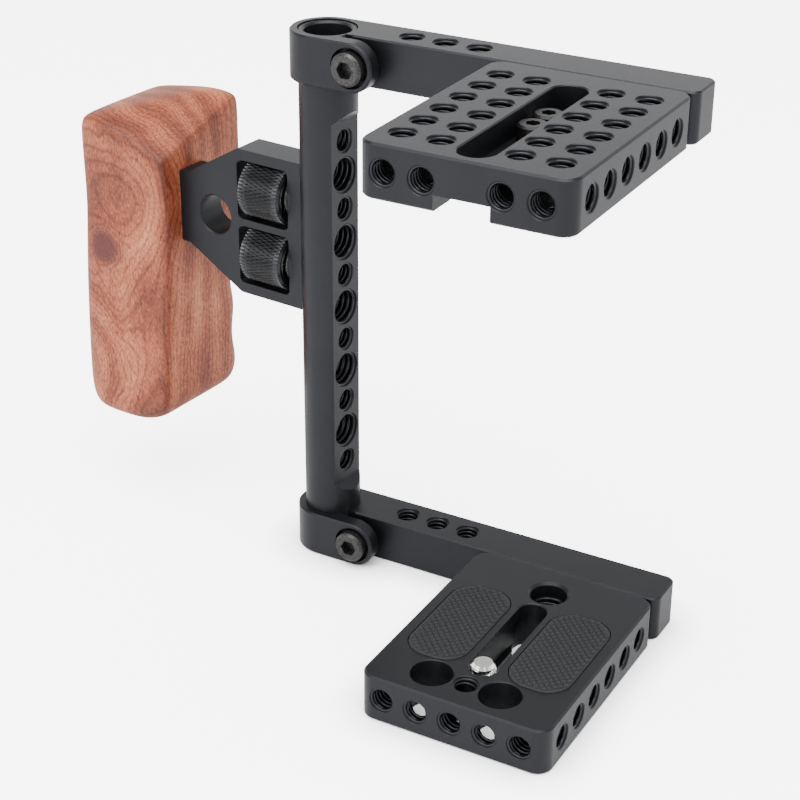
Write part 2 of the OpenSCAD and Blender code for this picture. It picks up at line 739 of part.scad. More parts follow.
module top_arm() {
    color(anodised_top) translate([0, 0, arms_apart]) clamp_arm();
}

module top_clamp_screw() {
    color(black_oxide) translate([0, 0, arms_apart]) clamp_screw();
}

module top_plate_screws() {
    color(black_oxide) translate([0, 0, arms_apart]) plate_screws();
}

module top_plate() {
    color(anodised_top) translate([0, 0, arms_apart]) difference() {
        plate_blank(outer_columns);
        for (c = outer_columns, k = [0 : row_count - 1])
            translate([column_x(c), row_y(k), plate_t])
                through_drill(small_thread_d, plate_t, mouth_bevel);
        translate([plate_mid, plate_front + top_slot_edge, plate_t]) {
            slot_cutter(top_slot_w, top_slot_l, top_ledge_depth);
            slot_bevel_cutter(top_slot_w, top_slot_l, slot_bevel);
            translate([0, shank_slot_inset, -top_ledge_depth])
                slot_cutter(shoe_shank_slot_w, top_slot_l - 2 * shank_slot_inset, plate_t);
        }
        translate([plate_mid - channel_w / 2, plate_front - over, -over])
            cube([channel_w, plate_d + 2 * over, channel_depth + over]);
    }
}

// Shoe adapter: a block in the channel, a neck and a standard accessory foot
module shoe_adapter() {
    color(anodised_top) difference() {
        union() {
            shoe_layer(shoe_block_w, arms_apart, shoe_block_top);
            shoe_layer(shoe_neck_w, shoe_foot_top, arms_apart);
            shoe_layer(shoe_foot_w, shoe_foot_bottom, shoe_foot_top);
        }
        for (side = [-1, 1])
            translate([plate_mid, shoe_mid_y + side * shoe_screw_gap / 2, shoe_block_top])
                drill(small_screw_d + 2 * seat_fit, shoe_block_top - shoe_foot_bottom + over, 0);
    }
}

module shoe_layer(w, z0, z1) {
    translate([plate_mid - w / 2, shoe_mid_y - shoe_l / 2, z0]) cube([w, shoe_l, z1 - z0]);
}

module shoe_screws() {
    color(black_oxide) for (side = [-1, 1])
        translate([plate_mid, shoe_mid_y + side * shoe_screw_gap / 2, shoe_screw_seat])
            small_screw(shoe_screw_l);
}

bottom_arm();
base_plate();
base_plate_screws();
left_pad();
right_pad();
camera_screw();
camera_screw_washer();
bottom_clamp_screw();
upright_rod();
grip_bracket();
wood_grip();
grip_screws();
upper_thumbwheel();
upper_thumb_stud();
upper_wheel_washer();
lower_thumbwheel();
lower_thumb_stud();
lower_wheel_washer();
top_arm();
top_clamp_screw();
top_plate();
top_plate_screws();
shoe_adapter();
shoe_screws();
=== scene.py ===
import math
from functools import partial

import bmesh
import bpy
from mathutils import Matrix, Vector


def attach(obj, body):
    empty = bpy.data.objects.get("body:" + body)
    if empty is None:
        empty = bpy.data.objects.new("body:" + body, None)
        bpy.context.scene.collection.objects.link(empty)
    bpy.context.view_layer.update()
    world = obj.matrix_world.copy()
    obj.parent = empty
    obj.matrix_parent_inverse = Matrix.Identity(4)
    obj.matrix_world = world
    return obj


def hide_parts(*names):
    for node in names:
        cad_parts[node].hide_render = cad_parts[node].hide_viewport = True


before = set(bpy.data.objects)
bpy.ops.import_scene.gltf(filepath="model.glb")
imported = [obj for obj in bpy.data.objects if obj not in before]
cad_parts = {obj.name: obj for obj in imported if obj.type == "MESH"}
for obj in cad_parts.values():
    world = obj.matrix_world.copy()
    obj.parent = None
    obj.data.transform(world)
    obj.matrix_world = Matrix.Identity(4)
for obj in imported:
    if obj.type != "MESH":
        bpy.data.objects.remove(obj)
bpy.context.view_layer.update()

# Camera
# A portrait lens a little over half a metre from the cage, above it and to its
# right, levelled and aimed by the perspective of its rows of holes.
MM = 0.001
camera_azimuth, camera_elevation, camera_roll = 29.0514, 27.2365, 0.3708
camera_distance = 535.0763 * MM
aim_across, aim_up = 18.348 * MM, 38.8097 * MM
photo_width_pixels = 800
focal_pixels = 1907.4732
sensor_width = 36
nearest_seen, farthest_seen = 0.01, 20

azimuth, elevation, roll = map(math.radians, (camera_azimuth, camera_elevation, camera_roll))
level = Vector((math.cos(azimuth), math.sin(azimuth), 0))
backwards = Vector((math.sin(azimuth) * math.cos(elevation), -math.cos(azimuth) * math.cos(elevation),
                    math.sin(elevation)))
upright = backwards.cross(level)
camera_right = math.cos(roll) * level + math.sin(roll) * upright
camera_up = -math.sin(roll) * level + math.cos(roll) * upright
camera_place = level * aim_across + upright * aim_up + backwards * camera_distance

lens = bpy.data.cameras.new("camera")
lens.sensor_width = sensor_width
lens.lens = focal_pixels / photo_width_pixels * sensor_width
lens.clip_start, lens.clip_end = nearest_seen, farthest_seen
camera = bpy.data.objects.new("camera", lens)
camera.matrix_world = Matrix((
    (camera_right.x, camera_up.x, backwards.x, camera_place.x),
    (camera_right.y, camera_up.y, backwards.y, camera_place.y),
    (camera_right.z, camera_up.z, backwards.z, camera_place.z),
    (0, 0, 0, 1)))
bpy.context.scene.collection.objects.link(camera)
bpy.context.scene.camera = camera

# Rod, arms and plates
# All are aluminium, milled or turned, fine bead-blasted and black anodised.
# The solids keep their shapes from the frame, and get the finish here.
MATHS, VECTOR_MATHS = "ShaderNodeMath", "ShaderNodeVectorMath"
NOISE, MIX = "ShaderNodeTexNoise", "ShaderNodeMix"
grit_width, grit_depth = 0.35 * MM, 0.02 * MM
dye_drift = 14 * MM
shine_spread = 0.06


def linear(hex_colour):
    """A hex colour, as seen on screen, in the linear values that shaders take."""
    parts = [int(hex_colour[i:i + 2], 16) / 255 for i in (1, 3, 5)]
    return tuple(c / 12.92 if c <= 0.04045 else ((c + 0.055) / 1.055) ** 2.4 for c in parts) + (1,)


def feed(node, key, source):
    """Gives a socket, by name or number, a value, an output, or the first output in use of a whole node."""
    socket = node.inputs[key] if isinstance(key, int) else next(
        s for s in node.inputs if s.name == key and s.enabled)
    if isinstance(source, bpy.types.Node):
        source = next(output for output in source.outputs if output.enabled)
    if isinstance(source, bpy.types.NodeSocket):
        node.id_data.links.new(source, socket)
    else:
        socket.default_value = source


def add_node(tree, kind, *sources, **settings):
    """Adds a node. Sources feed its sockets in order, and settings name its properties or its sockets."""
    node = tree.nodes.new(kind)
    sockets = dict(enumerate(sources))
    for key, value in settings.items():
        if hasattr(node, key):
            setattr(node, key, value)
        else:
            sockets[key.replace("_", " ")] = value
    for key, source in sockets.items():
        feed(node, key, source)
    return node


def new_material(name, **values):
    """A material with one shader. Returns it, the shader, its tree's add_node and the object coordinates."""
    material = bpy.data.materials.new(name)
    material.use_nodes = True
    shader = material.node_tree.nodes["Principled BSDF"]
    for key, value in values.items():
        feed(shader, key.replace("_", " "), value)
    add = partial(add_node, material.node_tree)
    return material, shader, add, add("ShaderNodeTexCoord").outputs["Object"]


def drifting_colour(shader, add, place, width, dark, light, detail=2):
    """Lets a finish drift between two tones, in clouds of the given width. Returns the clouds."""
    clouds = add(NOISE, Vector=place, Scale=1 / width, Detail=detail)
    feed(shader, "Base Color", add(MIX, clouds, data_type="RGBA", A=linear(dark), B=linear(light)))
    return clouds


def anodised(name, dark, light, roughness, relief=0.25):
    """Blasted and anodised aluminium: a satin, nearly black metal, whose even grit spreads its highlights.
    The real grit is about 0.05 mm wide. It is drawn seven times as coarse, to show."""
    material, shader, add, place = new_material(name, Metallic=0.75, Roughness=roughness)
    drifting_colour(shader, add, place, dye_drift, dark, light, detail=3)
    grit = add(NOISE, Vector=place, Scale=1 / grit_width, Detail=2)
    feed(shader, "Roughness", add("ShaderNodeMapRange", grit, To_Min=roughness - shine_spread,
                                  To_Max=roughness + shine_spread))
    feed(shader, "Normal", add("ShaderNodeBump", Height=grit, Strength=relief, Distance=grit_depth))
    return material


def finish_nodes(material, *names):
    """Gives carried-over solids one material."""
    for name in names:
        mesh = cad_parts[name].data
        mesh.materials.clear()
        mesh.materials.append(material)


plate_black = anodised("black_anodised_aluminium", "#1e1f22", "#26272b", 0.42)
finish_nodes(plate_black, "bottom_arm", "base_plate", "top_arm", "top_plate", "grip_bracket", "shoe_adapter",
             "upright_rod")

# Threads
# The solids have plain holes at the threads' major diameter. Each hole gets
# its cut thread here, as one helical ridge standing in from the wall.
INCH = 25.4 * MM
UP, DOWN, FRONT, RIGHT = Vector((0, 0, 1)), Vector((0, 0, -1)), Vector((0, -1, 0)), Vector((1, 0, 0))
small_thread = {"major": 6.35 * MM, "pitch": INCH / 20, "countersink": 1.6 * MM}
large_thread = {"major": 9.525 * MM, "pitch": INCH / 16, "countersink": 1.9 * MM}
rod_end_thread = {"major": 12 * MM, "pitch": 1.75 * MM, "countersink": 0.0}
ridge_height_share, cone_depth_share = 0.54, 0.6
steps_a_turn = 24
sunk_in_wall = 0.06 * MM
weld_distance = 0.002 * MM


def geometry_tree(name, sizes, counts):
    """A tree with named inputs. Returns its add_node, what the inputs give, and the tree with their names."""
    tree = bpy.data.node_groups.new(name, "GeometryNodeTree")
    kinds = [("Geometry", "NodeSocketGeometry", None), ("Finish", "NodeSocketMaterial", None)]
    kinds += [(label, "NodeSocketFloat", size) for label, size in sizes.items()]
    kinds += [(label, "NodeSocketInt", count) for label, count in counts.items()]
    names = {}
    for label, kind, default in kinds:
        socket = tree.interface.new_socket(label, in_out="INPUT", socket_type=kind)
        names[label] = socket.identifier
        if default is not None:
            socket.default_value = default
    tree.interface.new_socket("Geometry", in_out="OUTPUT", socket_type="NodeSocketGeometry")
    add = partial(add_node, tree)
    return add, add("NodeGroupInput").outputs, (tree, names)


def set_on_points(add, given, shape, own_axis=None):
    """Ends a tree: a copy of the shape on each point, its own axis along the point's, all in the finish."""
    turned = {}
    if own_axis:
        axis = add("GeometryNodeInputNamedAttribute", data_type="FLOAT_VECTOR", Name="axis")
        turned["Rotation"] = add("FunctionNodeAlignRotationToVector", Vector=axis, axis=own_axis)
    placed = add("GeometryNodeInstanceOnPoints", Points=given["Geometry"], Instance=shape, **turned)
    solid = add("GeometryNodeRealizeInstances", placed)
    add("NodeGroupOutput", add("GeometryNodeSetMaterial", solid, Material=given["Finish"]))


def helical_thread_tree():
    """A ridge that winds about each point's axis, from the point inwards, and runs out at both its ends."""
    add, given, tree = geometry_tree("helical_thread", {
        "Wall radius": small_thread["major"] / 2, "Ridge height": ridge_height_share * small_thread["pitch"],
        "Pitch": small_thread["pitch"], "Turns": 4.0, "Countersink": small_thread["countersink"]}, {
        "Steps": 4 * steps_a_turn})
    wall = add(MATHS, given["Wall radius"], sunk_in_wall, operation="ADD")
    ridge = add(MATHS, given["Ridge height"], sunk_in_wall, operation="ADD")
    at = add("ShaderNodeSeparateXYZ", add("GeometryNodeInputPosition")).outputs

    # The strip's five columns, at shares of its width, are: wall, crest, crest, wall, and closing the first.
    crest_share, crest_reach, closing_share = 0.375, 0.2, 0.9
    flank_spread, closing_place = 1.15, -0.43
    strip = add("GeometryNodeMeshGrid", Size_X=1.0, Size_Y=1.0, Vertices_X=given["Steps"], Vertices_Y=5)
    along = add(MATHS, at["X"], 0.5, operation="ADD")
    across = add(MATHS, at["Y"], 0.5, operation="ADD")
    turn = add(MATHS, along, given["Turns"], operation="MULTIPLY")
    # The ridge rises and falls within a third of a turn of its ends.
    to_last = add(MATHS, given["Turns"], turn, operation="SUBTRACT")
    to_end = add(MATHS, turn, to_last, operation="MINIMUM")
    thirds = add(MATHS, to_end, 3.0, operation="MULTIPLY")
    rise = add(MATHS, thirds, 1.0, operation="MINIMUM")
    on_crest = add(MATHS, across, crest_share, crest_reach, operation="COMPARE")
    crest = add(MATHS, on_crest, rise, operation="MULTIPLY")
    inwards = add(MATHS, crest, ridge, operation="MULTIPLY")
    radius = add(MATHS, wall, inwards, operation="SUBTRACT")
    opening = add(MATHS, across, closing_share, operation="LESS_THAN")
    closing = add(MATHS, 1.0, opening, operation="SUBTRACT")
    off_crest = add(MATHS, across, crest_share, operation="SUBTRACT")
    flank = add(MATHS, off_crest, flank_spread, operation="MULTIPLY")
    spread = add(MATHS, flank, opening, operation="MULTIPLY")
    profile = add(MATHS, closing, closing_place, spread, operation="MULTIPLY_ADD")
    risen = add(MATHS, profile, rise, operation="MULTIPLY")
    climbed = add(MATHS, turn, risen, operation="ADD")
    climb = add(MATHS, climbed, given["Pitch"], operation="MULTIPLY")
    depth = add(MATHS, given["Countersink"], cone_depth_share, climb, operation="MULTIPLY_ADD")
    angle = add(MATHS, turn, -2 * math.pi, operation="MULTIPLY")
    wound = add("GeometryNodeSetPosition", strip, Position=add(
        "ShaderNodeCombineXYZ",
        add(MATHS, radius, add(MATHS, angle, operation="COSINE"), operation="MULTIPLY"),
        add(MATHS, radius, add(MATHS, angle, operation="SINE"), operation="MULTIPLY"),
        add(MATHS, depth, -1.0, operation="MULTIPLY")))

    # The countersink's cone ends in a full ring. Its four levels are: wall, lip, wall, and closing the first.
    ring_steps, ring_start_share, ring_step_share = 49, 0.12, 0.45
    ring = add("GeometryNodeMeshGrid", Size_X=1.0, Size_Y=3.0, Vertices_X=ring_steps, Vertices_Y=4)
    ring_level = add(MATHS, at["Y"], 1.5, operation="ADD")
    on_lip = add(MATHS, ring_level, 1.0, 0.1, operation="COMPARE")
    lip = add(MATHS, on_lip, ridge, operation="MULTIPLY")
    ring_radius = add(MATHS, wall, lip, operation="SUBTRACT")
    ring_opening = add(MATHS, ring_level, 2.5, operation="LESS_THAN")
    open_level = add(MATHS, ring_level, ring_opening, operation="MULTIPLY")
    ring_share = add(MATHS, open_level, ring_step_share, ring_start_share, operation="MULTIPLY_ADD")
    ring_depth = add(MATHS, ring_share, given["Countersink"], operation="MULTIPLY")
    ring_angle = add(MATHS, at["X"], 2 * math.pi, operation="MULTIPLY")
    closed_ring = add("GeometryNodeSetPosition", ring, Position=add(
        "ShaderNodeCombineXYZ",
        add(MATHS, ring_radius, add(MATHS, ring_angle, operation="COSINE"), operation="MULTIPLY"),
        add(MATHS, ring_radius, add(MATHS, ring_angle, operation="SINE"), operation="MULTIPLY"),
        add(MATHS, ring_depth, -1.0, operation="MULTIPLY")))
    no_countersink = add("FunctionNodeCompare", operation="LESS_EQUAL", A=given["Countersink"], B=0.01 * MM)
    wanted_ring = add("GeometryNodeSwitch", no_countersink, closed_ring, input_type="GEOMETRY")

    both = add("GeometryNodeJoinGeometry", wound)
    feed(both, 0, wanted_ring)
    welded = add("GeometryNodeMergeByDistance", both, Distance=weld_distance)
    set_on_points(add, given, welded, own_axis="Z")
    return tree


def run_tree(named_tree, points, values, axes=()):
    """Runs a geometry tree on loose points, each with its axis, and returns the plain mesh that it makes."""
    tree, names = named_tree
    mesh = bpy.data.meshes.new("points")
    mesh.from_pydata([tuple(point) for point in points], [], [])
    if axes:
        layer = mesh.attributes.new("axis", "FLOAT_VECTOR", "POINT")
        layer.data.foreach_set("vector", [part for axis in axes for part in axis])
    carrier = bpy.data.objects.new("points", mesh)
    bpy.context.scene.collection.objects.link(carrier)
    modifier = carrier.modifiers.new("tree", "NODES")
    modifier.node_group = tree
    for label, value in values.items():
        modifier[names[label]] = value
    depsgraph = bpy.context.evaluated_depsgraph_get()
    made = bpy.data.meshes.new_from_object(carrier.evaluated_get(depsgraph), depsgraph=depsgraph)
    bpy.data.objects.remove(carrier)
    return made


thread_tree = helical_thread_tree()
# Taps cut the threads into smooth flanks, which catch more light than the blasted faces.
thread_black = anodised("anodised_cut_thread", "#242528", "#303135", 0.3)


def cut_threads(thread, turns, mouths, outwards):
    """The ridges of like holes, from their mouths' centres and the direction out of them."""
    ridge_turns = turns - cone_depth_share * thread["countersink"] / thread["pitch"]
    return run_tree(thread_tree, mouths, {
        "Wall radius": thread["major"] / 2, "Ridge height": ridge_height_share * thread["pitch"],
        "Pitch": thread["pitch"], "Turns": ridge_turns, "Countersink": thread["countersink"],
        "Steps": int(steps_a_turn * ridge_turns) + 1, "Finish": thread_black}, [outwards] * len(mouths))


def join_meshes(name, meshes, finish):
    """One object from several meshes, all with one material."""
    whole = bmesh.new()
    for mesh in meshes:
        whole.from_mesh(mesh)
        bpy.data.meshes.remove(mesh)
    result = bpy.data.meshes.new(name)
    bmesh.ops.recalc_face_normals(whole, faces=whole.faces)
    whole.to_mesh(result)
    whole.free()
    result.materials.clear()
    result.materials.append(finish)
    for face in result.polygons:
        face.material_index = 0
        face.use_smooth = True
    piece = bpy.data.objects.new(name, result)
    bpy.context.scene.collection.objects.link(piece)
    return piece


def plain_mesh(name, work):
    """Ends a bmesh as a plain mesh."""
    mesh = bpy.data.meshes.new(name)
    work.to_mesh(mesh)
    work.free()
    return mesh


def sleeve_strip(mouth, radii, depths, first_degrees, last_degrees, steps=12):
    """Part of a thin sleeve in a hole that runs back from its mouth, between two radii, depths and angles."""
    (inner, outer), (near, far) = radii, depths
    work = bmesh.new()
    rings = []
    for step in range(steps + 1):
        angle = math.radians(first_degrees + (last_degrees - first_degrees) * step / steps)
        cosine, sine = math.cos(angle), math.sin(angle)
        rings.append([work.verts.new(mouth + Vector((radius * cosine, depth, radius * sine)))
                      for radius, depth in ((inner, near), (outer, near), (outer, far), (inner, far))])
    for first, second in zip(rings, rings[1:]):
        for k in range(4):
            work.faces.new((first[k], first[(k + 1) % 4], second[(k + 1) % 4], second[k]))
    work.faces.new(rings[0][::-1])
    work.faces.new(rings[-1])
    return plain_mesh("sleeve", work)


def at_level(places, level):
    """Flat places, lifted to a level."""
    return [Vector((x, y, level)) for x, y in places]


hole_pitch = 9.15 * MM
arm_height, top_level = 12.5 * MM, 146.5 * MM
top_underside, side_level = top_level - arm_height, arm_height / 2
plates_front, plates_right, plates_middle = -67.4 * MM, 97.35 * MM, 72.35 * MM
first_column, first_row, first_arm_column, arm_middle = 53.7 * MM, -12.7 * MM, 21.9 * MM, 3.25 * MM
columns = [first_column + k * hole_pitch for k in range(5)]
rows = [first_row - k * hole_pitch for k in range(6)]
middle_column = columns[2]
side_columns = [x for x in columns if x != middle_column]
arm_places = [(first_arm_column + k * hole_pitch, arm_middle) for k in range(3)]
plate_places = [(x, y) for x in side_columns for y in rows]

# A front hole of the top plate runs along its channel's edge, and a thin sleeve closes its side there.
sleeve_radii, sleeve_depths, sleeve_degrees = (3.14 * MM, 3.34 * MM), (0.5 * MM, 9.9 * MM), (180, 270)
arm_turns, face_turns, top_front_turns, top_side_turns = 9.6, 2.4, 4.4, 2.9
top_front = [Vector((x, plates_front, top_underside + side_level)) for x in side_columns]
top_side = [Vector((plates_right, y, top_underside + side_level)) for y in rows]
top_threads = join_meshes("top_threads", [
    sleeve_strip(top_front[2], sleeve_radii, sleeve_depths, *sleeve_degrees),
    cut_threads(small_thread, arm_turns, at_level(arm_places, top_level), UP),
    cut_threads(small_thread, face_turns, at_level(plate_places, top_level), UP),
    cut_threads(small_thread, face_turns, at_level(plate_places, top_underside), DOWN),
    cut_threads(small_thread, top_front_turns, top_front, FRONT),
    cut_threads(small_thread, top_side_turns, top_side, RIGHT)], thread_black)
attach(top_threads, "top")

# The base's large hole is plain in its first few millimetres. Two front holes end in the plain bores.
middle_hole, large_hole = (middle_column, plates_front + 8.55 * MM), (plates_middle, -13.5 * MM)
large_thread_start = arm_height - 3.6 * MM
base_side_turns, bore_front_turns, middle_front_turns, large_hole_turns = 6.4, 2.4, 4.1, 4.9
base_front = [Vector((x, plates_front, side_level)) for x in columns]
base_threads = join_meshes("base_threads", [
    cut_threads(small_thread, arm_turns, at_level(arm_places, arm_height), UP),
    cut_threads(small_thread, face_turns, at_level([middle_hole], arm_height), UP),
    cut_threads(small_thread, face_turns, at_level([middle_hole], 0), DOWN),
    cut_threads(large_thread, large_hole_turns, at_level([large_hole], large_thread_start), UP),
    cut_threads(small_thread, base_side_turns, base_front[::4], FRONT),
    cut_threads(small_thread, bore_front_turns, base_front[1::2], FRONT),
    cut_threads(small_thread, middle_front_turns, [base_front[2]], FRONT),
    cut_threads(small_thread, base_side_turns, [Vector((plates_right, y, side_level)) for y in rows], RIGHT)],
    thread_black)
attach(base_threads, "base")

# The handle, with the rod, is turned about the rod's axis. The rod's holes go small, large, small, from the
# top down. The wheels' studs sit in the third and the fifth, and the others are threaded right through.
handle_turn = math.radians(-5.3)
rod_flat, rod_first_hole, rod_hole_count = 4.9, 118.15, 11
rod_thread_top, rod_thread_bottom = 141.5 * MM, 4.7 * MM
rod_small_turns, rod_stud_turns, rod_large_turns, rod_end_turns = 8.8, 3.3, 6.4, 7.2
stud_holes = (2, 4)


def from_handle(x, y, z):
    """A place in the turned handle, given square to the handle in millimetres."""
    return Matrix.Rotation(handle_turn, 4, "Z") @ Vector((x * MM, y * MM, z * MM))


handle_right = Matrix.Rotation(handle_turn, 4, "Z") @ RIGHT
rod_levels = [rod_first_hole - k * hole_pitch / MM for k in range(rod_hole_count)]
rod_holes = [from_handle(rod_flat, 0, height) for height in rod_levels]
open_holes = [rod_holes[k] for k in range(0, rod_hole_count, 2) if k not in stud_holes]
handle_threads = join_meshes("rod_threads", [
    cut_threads(small_thread, rod_small_turns, open_holes, handle_right),
    cut_threads(small_thread, rod_stud_turns, [rod_holes[k] for k in stud_holes], handle_right),
    cut_threads(large_thread, rod_large_turns, rod_holes[1::2], handle_right),
    cut_threads(rod_end_thread, rod_end_turns, [Vector((0, 0, rod_thread_top))], UP),
    cut_threads(rod_end_thread, rod_end_turns, [Vector((0, 0, rod_thread_bottom))], DOWN)], thread_black)
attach(handle_threads, "handle")

# Screws
# Socket-head cap screws of black-oxide steel hold the clamps, the plates, the
# grip and the shoe adapter. The wheels' studs are turned from the same steel.
oxide_spot_width, oxide_depth = 0.5 * MM, 0.02 * MM


def oxide_steel(name, dark, light):
    """Black-oxide steel: a thin, mottled, dull black, with the steel showing through it in small spots."""
    material, shader, add, place = new_material(name, Metallic=0.8, Roughness=0.4)
    clouds = add(NOISE, Vector=place, Scale=1 / oxide_spot_width, Detail=4)
    spots = add("ShaderNodeMapRange", clouds, From_Min=0.34, From_Max=0.7)
    feed(shader, "Base Color", add(MIX, spots, data_type="RGBA", A=linear(dark), B=linear(light)))
    feed(shader, "Normal", add("ShaderNodeBump", Height=clouds, Strength=0.3, Distance=oxide_depth))
    return material


# The clamp screws are turned often, and their oxide is rubbed thin.
finish_nodes(oxide_steel("rubbed_black_oxide_steel", "#282728", "#4b4a49"), "bottom_clamp_screw",
             "top_clamp_screw")
finish_nodes(oxide_steel("black_oxide_steel", "#181718", "#2a292a"), "base_plate_screws", "grip_screws",
             "top_plate_screws", "shoe_screws", "upper_thumb_stud", "lower_thumb_stud")

# Camera screw
# A turned steel 1/4-20 screw, plated in bright nickel, with a relieved neck
# and a coin-slotted head in the base's slot. A punched nylon washer keeps
# the head from rubbing metal on metal.
nylon_cloud_width, nickel_cloud_width = 2 * MM, 0.8 * MM

# Nylon is off-white and slightly waxy, and its milky clouds hardly show.
nylon, nylon_shader, nylon_add, nylon_place = new_material("punched_nylon", Roughness=0.5, IOR=1.53)
drifting_colour(nylon_shader, nylon_add, nylon_place, nylon_cloud_width, "#dcdad2", "#efede6")
finish_nodes(nylon, "camera_screw_washer")

# Nickel plate is a warm white mirror, and the plating bath leaves faint clouds in it.
nickel, nickel_shader, nickel_add, nickel_place = new_material(
    "bright_nickel_plate", Metallic=1.0, Roughness=0.13)
drifting_colour(nickel_shader, nickel_add, nickel_place, nickel_cloud_width, "#efeeea", "#fbfaf7", detail=3)


def lathe(name, profile, centre, steps=64):
    """A closed mesh turned about the vertical through centre, from radii and heights that run upwards."""
    work = bmesh.new()
    rings = []
    for radius, height in profile:
        count = steps if radius else 1
        rings.append([work.verts.new((centre[0] + radius * math.cos(2 * math.pi * k / steps),
                                      centre[1] + radius * math.sin(2 * math.pi * k / steps), height))
                      for k in range(count)])
    for low, high in zip(rings, rings[1:]):
        for k in range(steps):
            n = (k + 1) % steps
            if len(low) == 1:
                work.faces.new((low[0], high[n], high[k]))
            elif len(high) == 1:
                work.faces.new((low[k], low[n], high[0]))
            else:
                work.faces.new((low[k], low[n], high[n], high[k]))
    return plain_mesh(name, work)


def block(low, high):
    """A closed block from two corners."""
    work = bmesh.new()
    bmesh.ops.create_cube(work, size=1)
    for vertex in work.verts:
        vertex.co = [a + (b - a) * (c + 0.5) for a, b, c in zip(low, high, vertex.co)]
    return plain_mesh("block", work)


def cut_away(piece, *cutters):
    """Cuts closed meshes out of a piece for good."""
    for cutter_mesh in cutters:
        cutter = bpy.data.objects.new("cutter", cutter_mesh)
        bpy.context.scene.collection.objects.link(cutter)
        modifier = piece.modifiers.new("cut", "BOOLEAN")
        modifier.operation, modifier.solver, modifier.object = "DIFFERENCE", "EXACT", cutter
        depsgraph = bpy.context.evaluated_depsgraph_get()
        made = bpy.data.meshes.new_from_object(piece.evaluated_get(depsgraph), depsgraph=depsgraph)
        piece.modifiers.clear()
        bpy.data.objects.remove(cutter)
        piece.data = made


def crisp(piece, degrees=30):
    """Smooth shading that stops at edges sharper than the angle."""
    piece.data.set_sharp_from_angle(angle=math.radians(degrees))


screw_x, screw_y = plates_middle, -50.35 * MM
head_radius, head_low, head_high, head_bevel = 4.5 * MM, 1.52 * MM, 4.52 * MM, 0.3 * MM
neck_radius, neck_top = 2.45 * MM, 12.3 * MM
tip_radius, tip_low, tip_high = 2.95 * MM, 12.75 * MM, 13.0 * MM
point_radius, point_high = 2.3 * MM, 13.75 * MM
coin_slot_reach, coin_slot_width, coin_slot_top = 9 * MM, 1.4 * MM, 2.92 * MM
core_radius, crest_rise, ridge_start, ridge_turns, ridge_steps = 2.37 * MM, 0.8 * MM, 12.85 * MM, 3.6, 130
camera_screw = join_meshes("threaded_camera_screw", [lathe("screw_core", [
    (0, head_low), (head_radius - head_bevel, head_low), (head_radius, head_low + head_bevel),
    (head_radius, head_high - head_bevel), (head_radius - head_bevel, head_high), (neck_radius, head_high),
    (neck_radius, neck_top), (tip_radius, tip_low), (tip_radius, tip_high), (point_radius, point_high),
    (0, point_high)], (screw_x, screw_y))], nickel)
cut_away(camera_screw, block((screw_x - coin_slot_reach, screw_y - coin_slot_width / 2, 0),
                             (screw_x + coin_slot_reach, screw_y + coin_slot_width / 2, coin_slot_top)))
# An outer thread is the same ridge, standing out from its core instead of in from a wall.
screw_ridge = run_tree(thread_tree, [(screw_x, screw_y, ridge_start)], {
    "Wall radius": core_radius, "Ridge height": -crest_rise, "Pitch": small_thread["pitch"],
    "Turns": ridge_turns, "Steps": ridge_steps, "Countersink": 0.0, "Finish": nickel}, [UP])
for piece in (camera_screw, join_meshes("camera_screw_ridge", [screw_ridge], nickel)):
    crisp(piece)
    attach(piece, "camera_screw")
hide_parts("camera_screw")

# Rubber pads
# Moulded black rubber pads, glued into shallow pockets on both sides of the
# base slot. Their diamond hatch is moulded as small blunt pyramids.
rubber_cloud_width, rubber_depth = 0.5 * MM, 0.02 * MM
hatch_pitch, hatch_height, hatch_groove = 1.4 * MM, 0.26 * MM, 0.16 * MM
field_width, field_length, field_corner = 15.6 * MM, 33.6 * MM, 6.3 * MM
pad_offset, pad_row, pad_face = 13.7 * MM, -36.1 * MM, 12.86 * MM
stud_top_share, edge_margin_share = 0.5, 0.42


